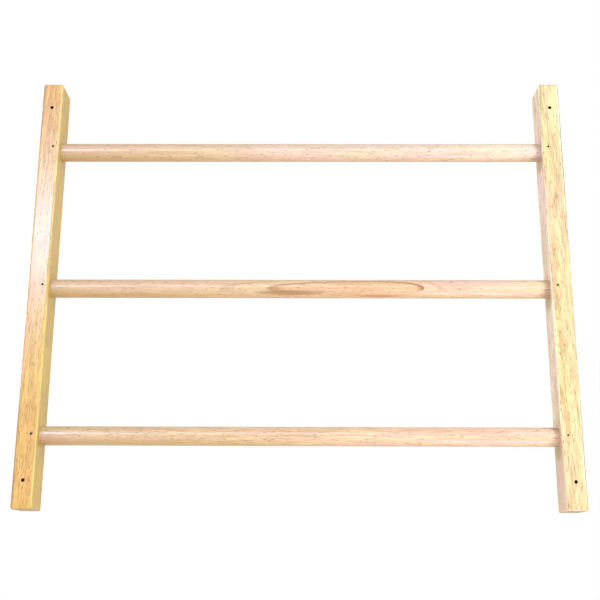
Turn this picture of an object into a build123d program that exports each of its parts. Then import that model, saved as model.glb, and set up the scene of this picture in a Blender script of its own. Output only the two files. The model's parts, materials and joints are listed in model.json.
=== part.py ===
from build123d import *

import os
from math import radians, tan

# A section of monkey bars: two upright rails that carry three round rungs.
#
# Each rung end is glued into a blind socket in the inner face of its rail. A countersunk wood
# screw, driven from the front through the rail and into the rung, keeps the rung from turning or
# pulling out. A bolt hole near each end of each rail takes the bolts that hold the section to a
# wall or to the beams of a play frame.
#
# Millimetres, +Z up along the rails and +X along the rungs. The origin is the centre of the four
# bolt holes on the plane of the rails' back faces, so the front faces look along -Y.

# Rails
OVERALL_WIDTH = 1016.0
RAIL_LENGTH = 825.5
RAIL_WIDTH = 38.1
RAIL_DEPTH = 63.5
EDGE_RADIUS = 4.0

# Rungs
RUNG_DIAMETER = 34.925
RUNG_SPACING = 279.4
RUNG_END_CHAMFER = 1.5
SOCKET_DEPTH = 22.2
SOCKET_END_GAP = 0.4
GLUE_GAP = 0.1

# Bolt holes
BOLT_HOLE_DIAMETER = 6.35
BOLT_HOLE_FROM_END = 50.8
BOLT_HOLE_RIM = 0.3
BOLT_HOLE_RIM_ANGLE = 90.0

# Screws that lock the rungs, measured down from the top of the head
SCREW_LENGTH = 38.1
HEAD_DIAMETER = 7.0
HEAD_ANGLE = 82.0
HEAD_RIM = 0.25
HEAD_RECESS = 0.5
SHANK_DIAMETER = 3.5
SHANK_END = 13.0
ROOT_DIAMETER = 2.4
TIP_LENGTH = 5.0
TIP_DIAMETER = 0.5
THREAD_PITCH = 2.3
THREAD_BASE = 1.0
THREAD_CREST = 0.2
THREAD_ROOTING = 0.2
SCREW_CLEARANCE = 0.1
PILOT_SPARE = 1.0

# Cross recess in a screw's head
RECESS_LENGTH = 3.9
RECESS_WIDTH = 1.1
RECESS_FLOOR_LENGTH = 1.5
RECESS_FLOOR_WIDTH = 0.7
RECESS_DEPTH = 1.9

# Worked out from the dimensions above
SIDES = {"left": -1, "right": 1}
RUNG_HEIGHTS = {"top": RUNG_SPACING, "middle": 0.0, "bottom": -RUNG_SPACING}
MID_DEPTH = -RAIL_DEPTH / 2
INNER_FACE = OVERALL_WIDTH / 2 - RAIL_WIDTH
RAIL_CENTRE = OVERALL_WIDTH / 2 - RAIL_WIDTH / 2
RUNG_LENGTH = 2 * (INNER_FACE + SOCKET_DEPTH - SOCKET_END_GAP)
BOLT_HEIGHT = RAIL_LENGTH / 2 - BOLT_HOLE_FROM_END
SCREW_X = INNER_FACE + SOCKET_DEPTH / 2
HEAD_SLOPE = tan(radians(HEAD_ANGLE / 2))
FRONT = Plane(origin=(0, -RAIL_DEPTH, 0), x_dir=(1, 0, 0), z_dir=(0, -1, 0))


def make_rail(side):
    """An upright with rounded edges, bored for the rungs, the bolts and the screws."""
    socket_face = Plane(
        origin=(side * INNER_FACE, MID_DEPTH, 0), x_dir=(0, 1, 0), z_dir=(-side, 0, 0)
    )
    wall_over_rung = RAIL_DEPTH / 2 - RUNG_DIAMETER / 2
    rim_depth = HEAD_RECESS + HEAD_RIM
    countersink_radius = HEAD_DIAMETER / 2 + SCREW_CLEARANCE + rim_depth * HEAD_SLOPE

    with BuildPart() as rail:
        with Locations((side * RAIL_CENTRE, MID_DEPTH, 0)):
            Box(RAIL_WIDTH, RAIL_DEPTH, RAIL_LENGTH)
        fillet(rail.edges(), radius=EDGE_RADIUS)

        with Locations(socket_face):
            with GridLocations(0, RUNG_SPACING, 1, len(RUNG_HEIGHTS)):
                Hole(radius=RUNG_DIAMETER / 2 + GLUE_GAP, depth=SOCKET_DEPTH)

        with Locations(FRONT):
            with Locations((side * SCREW_X, 0)):
                with GridLocations(0, RUNG_SPACING, 1, len(RUNG_HEIGHTS)):
                    CounterSinkHole(
                        radius=SHANK_DIAMETER / 2 + SCREW_CLEARANCE,
                        counter_sink_radius=countersink_radius,
                        depth=wall_over_rung + SHANK_DIAMETER,
                        counter_sink_angle=HEAD_ANGLE,
                    )
            with Locations((side * RAIL_CENTRE, 0)):
                with GridLocations(0, 2 * BOLT_HEIGHT, 1, 2):
                    CounterSinkHole(
                        radius=BOLT_HOLE_DIAMETER / 2,
                        counter_sink_radius=BOLT_HOLE_DIAMETER / 2 + BOLT_HOLE_RIM,
                        depth=RAIL_DEPTH,
                        counter_sink_angle=BOLT_HOLE_RIM_ANGLE,
                    )
    return rail


def make_rung(height):
    """A round bar, chamfered at both ends and drilled for its two screws."""
    with BuildPart() as rung:
        with BuildSketch(Plane.YZ.offset(-RUNG_LENGTH / 2)):
            with Locations((MID_DEPTH, height)):
                Circle(RUNG_DIAMETER / 2)
        extrude(amount=RUNG_LENGTH)
        chamfer(rung.edges().filter_by(GeomType.CIRCLE), length=RUNG_END_CHAMFER)

        with Locations(FRONT):
            with Locations((-SCREW_X, height), (SCREW_X, height)):
                Hole(radius=ROOT_DIAMETER / 2, depth=HEAD_RECESS + SCREW_LENGTH + PILOT_SPARE)
    return rung


def make_screw():
    """A countersunk wood screw, with the top of its head on the XY plane and its tip below."""
    head = HEAD_DIAMETER / 2
    shank = SHANK_DIAMETER / 2
    root = ROOT_DIAMETER / 2
    head_height = HEAD_RIM + (head - shank) / HEAD_SLOPE
    thread_top = SHANK_END + shank - root
    thread_bottom = SCREW_LENGTH - TIP_LENGTH

    with BuildPart() as screw:
        with BuildSketch(Plane.XZ):
            with BuildLine():
                Polyline(
                    (0, 0),
                    (head, 0),
                    (head, -HEAD_RIM),
                    (shank, -head_height),
                    (shank, -SHANK_END),
                    (root, -thread_top),
                    (root, -thread_bottom),
                    (TIP_DIAMETER / 2, -SCREW_LENGTH),
                    (0, -SCREW_LENGTH),
                    close=True,
                )
            make_face()
        revolve(axis=Axis.Z)

        # The ridge starts a little inside the root, so that it is one solid with the core.
        ridge_foot = root - THREAD_ROOTING
        with BuildLine():
            coil = Helix(
                pitch=THREAD_PITCH,
                height=thread_bottom - thread_top,
                radius=ridge_foot,
                center=(0, 0, -thread_bottom),
            )
        with BuildSketch(Plane(origin=coil @ 0, x_dir=(1, 0, 0), z_dir=coil % 0)):
            with BuildLine():
                Polyline(
                    (0, -THREAD_BASE / 2),
                    (shank - ridge_foot, -THREAD_CREST / 2),
                    (shank - ridge_foot, THREAD_CREST / 2),
                    (0, THREAD_BASE / 2),
                    close=True,
                )
            make_face()
        sweep(path=coil, is_frenet=True)

        for turn in (0, 90):
            with BuildSketch(Plane.XY):
                Rectangle(RECESS_LENGTH, RECESS_WIDTH, rotation=turn)
            with BuildSketch(Plane.XY.offset(-RECESS_DEPTH)):
                Rectangle(RECESS_FLOOR_LENGTH, RECESS_FLOOR_WIDTH, rotation=turn)
            loft(mode=Mode.SUBTRACT)
    return screw


def place_screw(screw, side, height):
    """A copy of the screw, sunk into the front of a rail at the height of a rung."""
    with BuildPart() as placed:
        with Locations(FRONT.offset(-HEAD_RECESS)):
            with Locations((side * SCREW_X, height)):
                add(screw.part)
    return placed


def save(piece, name):
    """Write one finished piece to its own file."""
    piece.part.label = name
    export_step(piece.part, f"parts/{name}.step")


os.makedirs("parts", exist_ok=True)
wood_screw = make_screw()

for side_name, side in SIDES.items():
    save(make_rail(side), f"rail_{side_name}")

for place, height in RUNG_HEIGHTS.items():
    save(make_rung(height), f"rung_{place}")
    for side_name, side in SIDES.items():
        save(place_screw(wood_screw, side, height), f"rung_screw_{place}_{side_name}")
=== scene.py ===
import json
from math import radians

import bpy
from mathutils import Matrix, Vector


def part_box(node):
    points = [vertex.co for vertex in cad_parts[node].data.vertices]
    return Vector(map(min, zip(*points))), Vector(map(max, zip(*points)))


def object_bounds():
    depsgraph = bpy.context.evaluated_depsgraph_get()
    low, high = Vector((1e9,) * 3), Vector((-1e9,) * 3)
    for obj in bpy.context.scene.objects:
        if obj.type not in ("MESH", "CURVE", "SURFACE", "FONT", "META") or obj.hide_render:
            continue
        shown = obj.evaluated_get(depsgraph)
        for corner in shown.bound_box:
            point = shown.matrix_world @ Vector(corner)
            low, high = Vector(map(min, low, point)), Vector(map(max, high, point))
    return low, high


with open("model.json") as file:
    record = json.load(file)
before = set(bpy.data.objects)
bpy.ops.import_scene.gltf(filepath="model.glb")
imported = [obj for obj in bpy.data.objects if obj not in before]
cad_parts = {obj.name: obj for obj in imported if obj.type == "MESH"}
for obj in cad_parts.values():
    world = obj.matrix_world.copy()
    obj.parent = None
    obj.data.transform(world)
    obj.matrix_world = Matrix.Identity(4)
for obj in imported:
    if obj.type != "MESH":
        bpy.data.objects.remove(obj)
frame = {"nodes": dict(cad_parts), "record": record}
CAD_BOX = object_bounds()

NODES = frame["nodes"]
RUNGS = ("rung_top", "rung_middle", "rung_bottom")
FIXING = next(m for m in frame["record"]["mounts"] if m["name"] == "fixing_holes")["dims"]


def middle_of(node):
    """The centre of a CAD node's box."""
    low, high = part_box(node)
    return (Vector(low) + Vector(high)) / 2


# Places that the wood's marks are set by, in metres.
OUTER_X = CAD_BOX[1][0]
INNER_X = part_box("rail_right")[0].x
MID_Y = middle_of("rung_top").y
HALF_DEPTH = -MID_Y
RUNG_HEIGHTS = [middle_of(name).z for name in RUNGS]
BOLT_X = FIXING["spacing_x_mm"] / 2000
BOLT_Z = FIXING["spacing_y_mm"] / 2000
BOLT_RADIUS = FIXING["hole_r_mm"] / 1000
SCREW_RADIUS = (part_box("rung_screw_top_left")[1].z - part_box("rung_screw_top_left")[0].z) / 2

# The camera stands in front of the section, a little below its lower end, and looks up at it.
CAMERA_PLACE = (0.0155, -1.8092, -0.5111)
CAMERA_PITCH = 15.40
CAMERA_TURN = 0.48
CAMERA_ROLL = 0.23
CAMERA_LENS = 58.49
CAMERA_SENSOR = 36.0

# Each light: name, place, target, size, power and tint. The back ones come in a pair.
LIGHTS = (
    ("left window", (-0.996, -1.81, 0.70), (-0.2, 0.0, 0.0), 0.30, 18.5, (0.36, 0.60, 1.0)),
    ("front softbox", (0.0, -2.2, 1.0), (0.0, 0.0, 0.0), 0.8, 19.0, (0.42, 0.66, 1.0)),
    ("right softbox", (1.35, -1.15, -0.25), (0.1, 0.0, 0.0), 0.6, 24.0, (1.0, 0.94, 0.96)),
    ("lower softbox", (0.20, -1.95, -1.0), (0.1, 0.0, 0.0), 0.7, 12.5, (0.50, 0.66, 1.0)),
    ("upper softbox", (1.5, -1.2, 1.2), (0.2, 0.0, 0.0), 0.7, 50.0, (0.46, 0.66, 1.0)),
    ("left softbox", (-2.0, -0.5, 0.5), (0.4, 0.0, 0.1), 0.8, 13.0, (1.0, 0.94, 0.94)),
    ("back left softbox", (-2.6, 1.7, 0.6), (0.0, 0.0, 0.0), 0.8, 20.0, (1.0, 0.96, 0.92)),
    ("back right softbox", (2.6, 1.7, 0.6), (0.0, 0.0, 0.0), 0.8, 20.0, (1.0, 0.96, 0.92)),
    ("floor softbox", (0.52, -0.28, -0.98), (0.44, -0.05, 0.0), 0.48, 6.0, (0.48, 0.64, 1.0)),
)
SURROUND = (0.70, 0.67, 0.54)
WHITE = (1.0, 1.0, 1.0)
FLOOR_HEIGHT = -1.0
FLOOR_RADIUS = 6.0
FLOOR_FADE = (1.0, 3.6)

# Colours of the wood. Those named as tints multiply the wood under them, and so do the painted light and
# shade on the inner sides and along the edges.
RUNG_WOOD = ((0.585, 0.378, 0.213), (0.415, 0.235, 0.121), (0.20, 0.09, 0.04))
LEFT_RAIL_WOOD = ((0.65, 0.35, 0.102), (0.40, 0.20, 0.052), (0.18, 0.09, 0.03))
RIGHT_RAIL_WOOD = ((0.57, 0.385, 0.165), (0.33, 0.205, 0.075), (0.08, 0.06, 0.02))
# Painted shade on the left rail's inner side, darker and yellower, and painted light on the right rail's
# inner side, much paler, for how the light falls on each side.
LEFT_INNER_PAINTED_SHADE = (0.76, 0.86, 0.60)
RIGHT_INNER_PAINTED_LIGHT = (1.62, 1.76, 3.5)
# Painted shade along the rails' outer edges, and painted highlights along their inner edges.
PAINTED_EDGE_SHADE = (0.50, 0.40, 0.34)
PAINTED_EDGE_HIGHLIGHT = (1.30, 1.42, 1.45)
PAINTED_YELLOW_EDGE_HIGHLIGHT = (1.12, 1.22, 1.02)
HEART_TINT = (0.98, 0.90, 0.76)
RING_TINT = (0.44, 0.32, 0.20)
END_GRAIN_TINT = (0.62, 0.46, 0.38)
# Near black, painted shade on the walls of the bolt holes.
PAINTED_BORE_SHADE = (0.05, 0.02, 0.006)
# Painted shadow below each rung on the rails' inner sides.
PAINTED_JOINT_SHADOW = (0.34, 0.20, 0.04)
# Painted shade, darker towards the foot of the right rail's inner side.
PAINTED_FOOT_SHADE = (0.55, 0.345, 0.23)
# Painted shade along the left part of each rung's underside.
PAINTED_UNDERSIDE_SHADE = (0.385, 0.235, 0.065)
# A painted shade band on the lower front of the right half of the middle and bottom rungs.
PAINTED_SHADE_BAND = (0.42, 0.27, 0.15)
FLECK = (0.15, 0.07, 0.03)
CRACK = (0.22, 0.06, 0.03)
RED_LINE = (0.34, 0.11, 0.05)
BLOTCH = (0.26, 0.12, 0.03)


class Tree:
    """Shorthand for building a node tree."""

    def __init__(self, tree):
        self.tree = tree
        self.tree.nodes.clear()

    def add(self, kind, settings=None, **inputs):
        """A node of that kind. Its inputs are numbers, colours, vectors or other sockets."""
        node = self.tree.nodes.new(kind)
        for name, value in (settings or {}).items():
            setattr(node, name, value)
        for name, value in inputs.items():
            self.set(node, name.replace("_", " "), value)
        return node

    def set(self, node, name, value):
        """Links or sets one input of a node, by name or by number."""
        socket = node.inputs[name]
        if isinstance(value, bpy.types.NodeSocket):
            self.tree.links.new(value, socket)
        else:
            socket.default_value = value

    def math(self, operation, *values, clamp=False):
        """A math node's result."""
        node = self.add("ShaderNodeMath", {"operation": operation, "use_clamp": clamp})
        for index, value in enumerate(values):
            self.set(node, index, value)
        return node.outputs[0]

    def vector(self, operation, *values):
        """A vector math node's result."""
        node = self.add("ShaderNodeVectorMath", {"operation": operation})
        for index, value in enumerate(values):
            self.set(node, index, value)
        single = operation in ("LENGTH", "DOT_PRODUCT")
        return node.outputs["Value" if single else "Vector"]

    def scaled(self, vector, factors):
        """A vector with each part multiplied by its own factor."""
        return self.vector("MULTIPLY", vector, factors)

    def part(self, vector, axis):
        """One part of a vector: X, Y or Z."""
        return self.add("ShaderNodeSeparateXYZ", Vector=vector).outputs[axis]

    def noise(self, vector, scale=1.0, detail=2.0, roughness=0.5):
        """A noise texture's value."""
        node = self.add("ShaderNodeTexNoise", {"noise_dimensions": "3D"})
        for name, value in (
            ("Vector", vector), ("Scale", scale), ("Detail", detail), ("Roughness", roughness)
        ):
            self.set(node, name, value)
        return node.outputs["Fac"]

    def noise_vector(self, vector, scale=1.0, detail=1.0):
        """A noise texture's colour, shifted to lie about zero."""
        node = self.add("ShaderNodeTexNoise", {"noise_dimensions": "3D"})
        for name, value in (("Vector", vector), ("Scale", scale), ("Detail", detail)):
            self.set(node, name, value)
        return self.vector("SUBTRACT", node.outputs["Color"], (0.5, 0.5, 0.5))

    def range(self, value, low, high, to_low=0.0, to_high=1.0, smooth=True):
        """A value mapped from one range to another, and held inside it."""
        node = self.add(
            "ShaderNodeMapRange", {"interpolation_type": "SMOOTHSTEP" if smooth else "LINEAR"}
        )
        for name, number in (
            ("Value", value), ("From Min", low), ("From Max", high),
            ("To Min", to_low), ("To Max", to_high),
        ):
            self.set(node, name, number)
        return node.outputs["Result"]

    def mix(self, factor, first, second, blend="MIX"):
        """Two colours mixed by a factor."""
        node = self.add("ShaderNodeMix", {"data_type": "RGBA", "blend_type": blend})
        self.set(node, 0, factor)
        self.set(node, 6, first)
        self.set(node, 7, second)
        return node.outputs[2]

    def tinted(self, where, base, tint):
        """A colour multiplied by a tint where the first value is 1."""
        return self.mix(where, base, self.mix(1.0, base, colour(*tint), "MULTIPLY"))


def new_material(name):
    material = bpy.data.materials.new(name)
    material.use_nodes = True
    return material, Tree(material.node_tree)


def colour(red, green, blue):
    return (red, green, blue, 1.0)


def grain_space(t, along, lean):
    """Object coordinates, and the same turned so that their Z follows the grain, which leans a little."""
    place = t.add("ShaderNodeTexCoord").outputs["Object"]
    turn = {"X": (0.0, radians(90), 0.0), "Z": (0.0, 0.0, 0.0)}[along]
    upright = t.add("ShaderNodeMapping", {"vector_type": "TEXTURE"}, Vector=place, Rotation=turn)
    leaning = t.add("ShaderNodeMapping", {"vector_type": "TEXTURE"}, Vector=upright.outputs["Vector"])
    t.set(leaning, "Rotation", tuple(radians(angle) for angle in lean))
    return place, leaning.outputs["Vector"]


def streaks(t, grain, width, length, detail=2.0, low=0.35, high=0.65):
    """Soft streaks of that width and length along the grain, from 0 to 1."""
    stretched = t.scaled(grain, (1 / width, 1 / width, 1 / length))
    return t.range(t.noise(stretched, 1.0, detail, 0.55), low, high)


def dashes(t, grain, width, length, share, soft=0.22):
    """Short thin dashes along the grain, the cut-open pores of a hardwood."""
    cells = t.add("ShaderNodeTexVoronoi", {"feature": "F1"}, Scale=1.0)
    t.set(cells, "Vector", t.scaled(grain, (1 / width, 1 / width, 1 / length)))
    near = t.range(cells.outputs["Distance"], 0.12, 0.12 + soft, 1.0, 0.0)
    chance = t.add("ShaderNodeSeparateColor", Color=cells.outputs["Color"]).outputs["Red"]
    kept = t.range(chance, 1 - share - 0.08, 1 - share + 0.08)
    return t.math("MULTIPLY", near, kept)


def growth_loop(t, base, place, bend, broad, figure):
    """One growth layer cut by the surface: a brown ring around darker heartwood, and a fainter ring.
    The rings are weaker on the lower part of the rung, a painted highlight.
    """
    pith, tail, tip, first, gap = figure
    offset = t.vector("ADD", t.vector("SUBTRACT", place, pith), t.scaled(bend, (0.0, 0.10, 0.10)))
    along = t.part(offset, "X")
    across = t.vector("LENGTH", t.scaled(offset, (0.0, 1.0, 1.0)))
    to_tail = t.math("MULTIPLY", along, -(tail ** 0.5))
    to_tip = t.math("MULTIPLY", along, tip ** 0.5)
    sag = t.math("POWER", t.math("MAXIMUM", to_tail, to_tip), 2.0)
    depth = t.math("SUBTRACT", t.math("SUBTRACT", across, sag), first)

    heart = t.range(depth, -0.0002, 0.0004)
    ring = t.range(depth, 0.0002, 0.0021, 1.0, 0.0)
    ring = t.math("MULTIPLY", ring, t.range(depth, -0.0003, 0.0001))
    faint = t.range(t.math("ABSOLUTE", t.math("ADD", depth, gap)), 0.0002, 0.0011, 0.40, 0.0)
    ring = t.math("MAXIMUM", ring, faint)
    patchy_and_painted_highlight = t.math("MULTIPLY_ADD", broad, 0.5, 0.6, clamp=True)
    # Painted highlight: the rings are weaker on the lower part of the rung.
    patchy_and_painted_highlight = t.math("MULTIPLY", patchy_and_painted_highlight, t.range(t.part(place, "Z"), -0.013, -0.004, 0.25, 1.0))
    base = t.tinted(heart, base, HEART_TINT)
    return t.tinted(t.math("MULTIPLY", ring, patchy_and_painted_highlight), base, RING_TINT)


def edge_band(t, place, side, band):
    """1 along the front and back edges of a rail's side, in a band of that width."""
    from_side = t.math("ABSOLUTE", t.math("SUBTRACT", t.part(place, "X"), side))
    near_side = t.range(from_side, band / 4, band, 1.0, 0.0)
    from_middle = t.math("ABSOLUTE", t.math("SUBTRACT", t.part(place, "Y"), MID_Y))
    near_face = t.range(from_middle, HALF_DEPTH - 2 * band, HALF_DEPTH - band)
    return t.math("MULTIPLY", near_side, near_face)


def spot(t, place, centre, size):
    """1 at a point, falling to 0 at a distance of size along each axis."""
    offset = t.vector("SUBTRACT", place, centre)
    away = t.vector("LENGTH", t.scaled(offset, tuple(1 / part for part in size)))
    return t.range(away, 0.35, 1.0, 1.0, 0.0)


def wood(name, along, seed, light, dark, pore, lean=(0.0, 0.0, 0.0), contrast=1.0, uneven=0.0,
         figure=None, painted_light_fade=None, edges=(), spots_and_painted_shade=(), shaded_bores=()):
    """Lacquered pale hardwood as a solid texture, so that every face and end shows its own cut.

    along: the axis that the grain follows. light, dark, pore: the wood's colours.
    uneven: how much rougher the lacquer is over the darker streaks.
    figure: a growth layer that shows as a long brown loop, as (pith, how fast the layer falls off
    along the tail and at the tip, its distance from the pith, the gap to the next layer).
    painted_light_fade: painted light and shade, a change to another tint along an axis, as (axis, where
    it starts, where it ends, tint).
    edges: bands along the long edges of a side, with painted shade on the outer edges and painted
    highlights on the inner ones, as (x of the side, width, tint).
    spots_and_painted_shade: small knots, cracks and stains, and patches of painted shadow and painted
    shade, as (centre, size, strength, colour).
    shaded_bores: drilled holes whose walls are painted near black, a painted shade, as (x, z).
    """
    material, t = new_material(name)
    place, straight = grain_space(t, along, lean)
    seeded = t.vector("ADD", straight, (seed * 1.7, seed * 2.3, seed * 3.1))

    # Slow bends of the fibres, then the streaks and pores that follow them.
    bend = t.scaled(t.noise_vector(t.scaled(seeded, (12.0, 12.0, 5.0)), 1.0, 2.0), (0.012, 0.012, 0.0))
    grain = t.vector("ADD", seeded, bend)
    broad = streaks(t, grain, width=0.012, length=0.30)
    narrow = streaks(t, grain, width=0.0034, length=0.045, detail=3.0)
    thin = streaks(t, grain, width=0.0013, length=0.016, low=0.30, high=0.70)
    hair = streaks(t, grain, width=0.0005, length=0.008, low=0.30, high=0.70)
    tone = t.math("MULTIPLY", broad, 0.22)
    for layer, share in ((narrow, 0.36), (thin, 0.30), (hair, 0.12)):
        tone = t.math("MULTIPLY_ADD", layer, share, tone)
    tone = t.range(tone, 0.5 - 0.5 / contrast, 0.5 + 0.5 / contrast, smooth=False)
    base = t.mix(tone, colour(*light), colour(*dark))

    # Slow drifts between a pinker and a yellower wood.
    drift = t.range(t.noise(t.scaled(seeded, (40.0, 40.0, 4.0)), 1.0, 2.0), 0.35, 0.65)
    tint = t.mix(drift, colour(1.0, 0.94, 0.98), colour(0.98, 1.02, 0.86))
    base = t.mix(1.0, base, tint, "MULTIPLY")

    if figure:
        base = growth_loop(t, base, place, bend, broad, figure)
    # Painted light and shade: one side or one end of a piece tinted for how the light falls on it.
    if painted_light_fade:
        axis, starts, ends, painted_light_tint = painted_light_fade
        base = t.tinted(t.range(t.part(place, axis), starts, ends), base, painted_light_tint)
    # Painted shade and painted highlights in bands along the edges.
    for side, band, edge_light_tint in edges:
        base = t.tinted(edge_band(t, place, side, band), base, edge_light_tint)

    pores = dashes(t, grain, width=0.0024, length=0.013, share=0.42, soft=0.28)
    pits = dashes(t, grain, width=0.0008, length=0.006, share=0.5)
    marks = t.math("MAXIMUM", t.math("MULTIPLY", pores, 0.85), t.math("MULTIPLY", pits, 0.6))
    base = t.mix(marks, base, colour(*pore))
    # Stains, flecks and cracks, and patches of painted shade and painted shadow.
    for centre, size, strength, stain_and_shade_colour in spots_and_painted_shade:
        base = t.mix(t.math("MULTIPLY", spot(t, place, centre, size), strength), base, colour(*stain_and_shade_colour))

    # The ends soak up more lacquer, so they are darker, and the walls of the drilled holes are painted
    # near black, a painted shade.
    normal = t.add("ShaderNodeNewGeometry").outputs["Normal"]
    grain_axis = {"X": (1.0, 0.0, 0.0), "Z": (0.0, 0.0, 1.0)}[along]
    across_grain = t.math("ABSOLUTE", t.vector("DOT_PRODUCT", normal, grain_axis))
    base = t.tinted(t.range(across_grain, 0.6, 0.97), base, END_GRAIN_TINT)
    for x, z in shaded_bores:
        offset = t.vector("SUBTRACT", t.scaled(place, (1.0, 0.0, 1.0)), (x, 0.0, z))
        away = t.vector("LENGTH", offset)
        inside = t.range(away, BOLT_RADIUS, BOLT_RADIUS + 0.0003, 1.0, 0.0)
        base = t.mix(inside, base, colour(*PAINTED_BORE_SHADE))

    height = t.math("SUBTRACT", t.math("MULTIPLY", hair, 0.3), t.math("MULTIPLY", marks, 1.2))
    bump = t.add("ShaderNodeBump", Strength=0.4, Distance=0.0002, Height=height)
    rough = t.range(narrow, 0.0, 1.0, 0.40, 0.40 + uneven, smooth=False)
    rough = t.math("MULTIPLY_ADD", marks, 0.2, rough)
    shader = t.add(
        "ShaderNodeBsdfPrincipled", Base_Color=base, Roughness=rough, Normal=bump.outputs["Normal"],
        Specular_IOR_Level=0.3, Coat_Weight=0.8, Coat_Roughness=0.28)
    t.add("ShaderNodeOutputMaterial", Surface=shader.outputs["BSDF"])
    return material


def zinc(name, centre):
    """Yellow zinc-plated steel: cloudy plating, turning marks, and dirt with painted shade in the recess
    and at the rim.
    """
    material, t = new_material(name)
    place = t.add("ShaderNodeTexCoord").outputs["Object"]
    cloud = t.noise(place, 900.0, 3.0, 0.6)
    scratch = t.noise(t.scaled(place, (6000.0, 900.0, 6000.0)), 1.0, 2.0)
    base = t.mix(t.range(cloud, 0.35, 0.7), colour(0.78, 0.56, 0.30), colour(0.56, 0.40, 0.20))
    offset = t.vector("SUBTRACT", t.scaled(place, (1.0, 0.0, 1.0)), (centre.x, 0.0, centre.z))
    away = t.math("DIVIDE", t.vector("LENGTH", offset), SCREW_RADIUS)
    # Dirt and painted shade: near black over the middle of the head around the recess, and at the rim.
    recess = t.math("MULTIPLY", t.range(away, 0.62, 0.76, 1.0, 0.0), 0.96)
    rim = t.math("MULTIPLY", t.range(away, 0.88, 0.97), 0.8)
    grime_and_painted_shade = t.math("MAXIMUM", recess, rim)
    base = t.mix(grime_and_painted_shade, base, colour(0.03, 0.018, 0.006))
    rough = t.range(scratch, 0.3, 0.7, 0.34, 0.48, smooth=False)
    rough = t.math("MULTIPLY_ADD", grime_and_painted_shade, 0.4, rough)
    metal = t.range(grime_and_painted_shade, 0.2, 0.8, 1.0, 0.0)
    bump = t.add("ShaderNodeBump", Strength=0.2, Distance=0.00005, Height=scratch)
    shader = t.add(
        "ShaderNodeBsdfPrincipled", Base_Color=base, Roughness=rough, Metallic=metal,
        Normal=bump.outputs["Normal"], Specular_IOR_Level=0.1)
    t.add("ShaderNodeOutputMaterial", Surface=shader.outputs["BSDF"])
    return material


def dress(node, material):
    """Gives a CAD node its finished material."""
    piece = NODES[node]
    if not piece.material_slots:
        piece.data.materials.append(material)
    for held in piece.material_slots:
        held.material = material


def painted_joint_shadows(x):
    """Painted shadow just below each rung, on the inner side of a rail."""
    return [
        ((x, MID_Y, height - 0.026), (0.003, 0.030, 0.022), 0.80, PAINTED_JOINT_SHADOW)
        for height in RUNG_HEIGHTS
    ]


def dress_rails():
    """The left rail is more orange, and the right one paler, with stronger pores."""
    # Painted light and shade on the inner sides, painted shade on the outer edges and the bolt hole
    # walls, painted highlights on the inner edges, and painted shadows below the rungs.
    dress("rail_left", wood(
        "wood of the left rail", "Z", 1.0, *LEFT_RAIL_WOOD, lean=(0.0, 1.5, 0.0), contrast=1.6,
        painted_light_fade=("X", -INNER_X - 0.0045, -INNER_X - 0.001, LEFT_INNER_PAINTED_SHADE),
        edges=[(-OUTER_X, 0.0028, PAINTED_EDGE_SHADE), (-INNER_X, 0.0036, PAINTED_YELLOW_EDGE_HIGHLIGHT)],
        spots_and_painted_shade=painted_joint_shadows(-INNER_X),
        shaded_bores=[(-BOLT_X, -BOLT_Z), (-BOLT_X, BOLT_Z)]))
    # Painted shade, darker towards the foot of the right rail's inner side.
    painted_foot_shade = ((INNER_X, MID_Y, -0.41), (0.003, 0.10, 0.20), 0.7, PAINTED_FOOT_SHADE)
    dress("rail_right", wood(
        "wood of the right rail", "Z", 2.0, *RIGHT_RAIL_WOOD, lean=(0.0, -3.0, 0.0), contrast=2.0,
        painted_light_fade=("X", INNER_X + 0.0012, INNER_X + 0.0002, RIGHT_INNER_PAINTED_LIGHT),
        edges=[(OUTER_X, 0.0032, PAINTED_EDGE_SHADE), (INNER_X, 0.0042, PAINTED_EDGE_HIGHLIGHT)],
        spots_and_painted_shade=[painted_foot_shade] + painted_joint_shadows(INNER_X),
        shaded_bores=[(BOLT_X, -BOLT_Z), (BOLT_X, BOLT_Z)]))


def on_rung(height, x, forward, down):
    """A place on a rung, by its distance in front of the rung's axis and below it."""
    return (x, MID_Y - forward, height - down)


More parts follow.
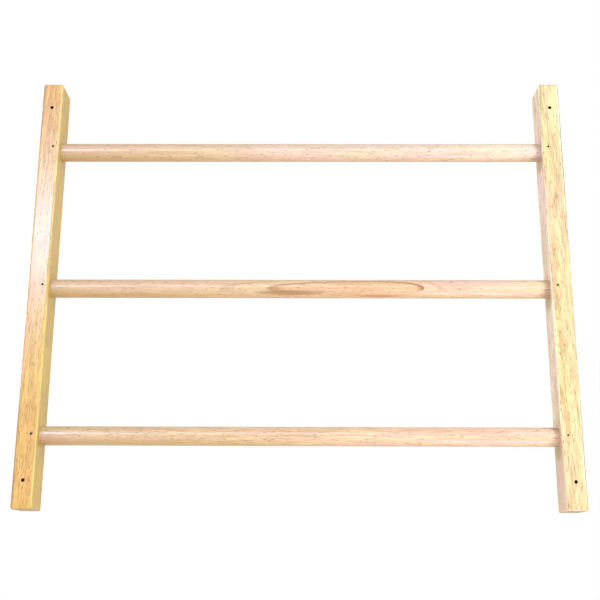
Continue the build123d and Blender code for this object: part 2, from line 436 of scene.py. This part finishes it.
def dress_rungs():
    """The top rung has flecks, and the middle one a loop of heartwood, a crack, a blotch and a red line.
    Each rung gets a paler, bluer tint towards its right end, a painted light, and painted shade along
    the left part of its underside; the middle and bottom ones also get a band of painted shade.
    """
    top, middle, bottom = RUNG_HEIGHTS
    # The tint changes towards the right ends are painted light; the underside patches and the bands on
    # the lower rungs are painted shade.
    flecks = [
        (on_rung(top, x, 0.0112, 0.0134), (0.0022, 0.004, 0.0016), 0.8, FLECK)
        for x in (-0.397, -0.366, -0.358, -0.352, -0.254, -0.193)
    ]
    dress("rung_top", wood(
        "wood of the top rung", "X", 3.0, *RUNG_WOOD, uneven=0.12,
        painted_light_fade=("X", -0.35, 0.25, (1.02, 1.13, 1.45)),
        spots_and_painted_shade=[(on_rung(top, -0.48, 0.006, 0.0175), (0.35, 0.03, 0.014), 0.45, PAINTED_UNDERSIDE_SHADE)] + flecks))
    dress("rung_middle", wood(
        "wood of the middle rung", "X", 4.0, *RUNG_WOOD, uneven=0.12,
        figure=((0.15, 0.05, 0.016), 0.13, 0.85, 0.0948, 0.005),
        painted_light_fade=("X", 0.10, 0.40, (1.0, 1.0, 1.16)),
        spots_and_painted_shade=[
            (on_rung(middle, -0.48, 0.006, 0.0175), (0.38, 0.03, 0.014), 0.6, PAINTED_UNDERSIDE_SHADE),
            (on_rung(middle, -0.02, 0.013, 0.0105), (0.080, 0.02, 0.0062), 0.85, BLOTCH),
            (on_rung(middle, 0.25, 0.0148, 0.0093), (0.25, 0.01, 0.0026), 0.5, PAINTED_SHADE_BAND),
            (on_rung(middle, 0.462, 0.016, 0.006), (0.012, 0.006, 0.0009), 0.9, CRACK),
            (on_rung(middle, 0.150, 0.0077, 0.0157), (0.055, 0.008, 0.0018), 0.7, RED_LINE),
        ]))
    dress("rung_bottom", wood(
        "wood of the bottom rung", "X", 5.0, *RUNG_WOOD, contrast=1.5, uneven=0.12,
        painted_light_fade=("X", -0.20, 0.40, (1.0, 0.97, 1.10)),
        spots_and_painted_shade=[
            (on_rung(bottom, -0.35, 0.006, 0.0175), (0.50, 0.03, 0.014), 0.6, PAINTED_UNDERSIDE_SHADE),
            (on_rung(bottom, 0.25, 0.0148, 0.0093), (0.25, 0.01, 0.0030), 0.5, PAINTED_SHADE_BAND),
        ]))


def dress_screws():
    for node in NODES:
        if node.startswith("rung_screw"):
            dress(node, zinc(node.replace("rung_screw", "plated steel"), middle_of(node)))


def add_camera():
    data = bpy.data.cameras.new("camera")
    data.lens = CAMERA_LENS
    data.sensor_width = CAMERA_SENSOR
    camera = bpy.data.objects.new("camera", data)
    bpy.context.scene.collection.objects.link(camera)
    camera.matrix_world = (
        Matrix.Translation(CAMERA_PLACE)
        @ Matrix.Rotation(radians(CAMERA_TURN), 4, "Z")
        @ Matrix.Rotation(radians(90 + CAMERA_PITCH), 4, "X")
        @ Matrix.Rotation(radians(CAMERA_ROLL), 4, "Z")
    )
    bpy.context.scene.camera = camera


def add_softbox(name, place, target, size, power, tint):
    """A square soft light that points at a target."""
    data = bpy.data.lights.new(name, "AREA")
    data.shape = "SQUARE"
    data.size = size
    data.energy = power
    data.color = tint
    light = bpy.data.objects.new(name, data)
    bpy.context.scene.collection.objects.link(light)
    towards = Vector(target) - Vector(place)
    light.matrix_world = Matrix.Translation(place) @ towards.to_track_quat("-Z", "Y").to_matrix().to_4x4()
    light.visible_camera = False


def add_surround():
    """A surround that the camera sees as white, and that lights the object a little more warmly."""
    world = bpy.data.worlds.new("white surround")
    world.use_nodes = True
    bpy.context.scene.world = world
    t = Tree(world.node_tree)
    seen = t.add("ShaderNodeLightPath").outputs["Is Camera Ray"]
    shade = t.mix(seen, colour(*SURROUND), colour(*WHITE))
    surround = t.add("ShaderNodeBackground", Color=shade, Strength=1.0)
    t.add("ShaderNodeOutputWorld", Surface=surround.outputs["Background"])


def floor_material():
    """Plain and pale, and it fades to the white of the surround further out."""
    material, t = new_material("pale floor")
    place = t.add("ShaderNodeTexCoord").outputs["Object"]
    speckle = t.noise(place, 60.0, 3.0)
    base = t.mix(speckle, colour(0.87, 0.82, 0.75), colour(0.90, 0.85, 0.78))
    shader = t.add("ShaderNodeBsdfPrincipled", Base_Color=base, Roughness=0.7)
    white = t.add("ShaderNodeEmission", Color=colour(*WHITE), Strength=1.0)
    away = t.vector("LENGTH", t.scaled(place, (1.0, 1.0, 0.0)))
    seen = t.add("ShaderNodeLightPath").outputs["Is Camera Ray"]
    blend = t.add("ShaderNodeMixShader")
    t.set(blend, 0, t.math("MULTIPLY", t.range(away, *FLOOR_FADE), seen))
    t.set(blend, 1, shader.outputs["BSDF"])
    t.set(blend, 2, white.outputs["Emission"])
    t.add("ShaderNodeOutputMaterial", Surface=blend.outputs["Shader"])
    return material


def add_floor():
    mesh = bpy.data.meshes.new("floor")
    corners = [
        (x * FLOOR_RADIUS, y * FLOOR_RADIUS, FLOOR_HEIGHT)
        for x, y in ((-1, -1), (1, -1), (1, 1), (-1, 1))
    ]
    mesh.from_pydata(corners, [], [(0, 1, 2, 3)])
    mesh.materials.append(floor_material())
    floor = bpy.data.objects.new("floor", mesh)
    bpy.context.scene.collection.objects.link(floor)


add_camera()
add_surround()
for light in LIGHTS:
    add_softbox(*light)
add_floor()
bpy.context.scene.view_settings.view_transform = "Standard"
dress_rails()
dress_rungs()
dress_screws()
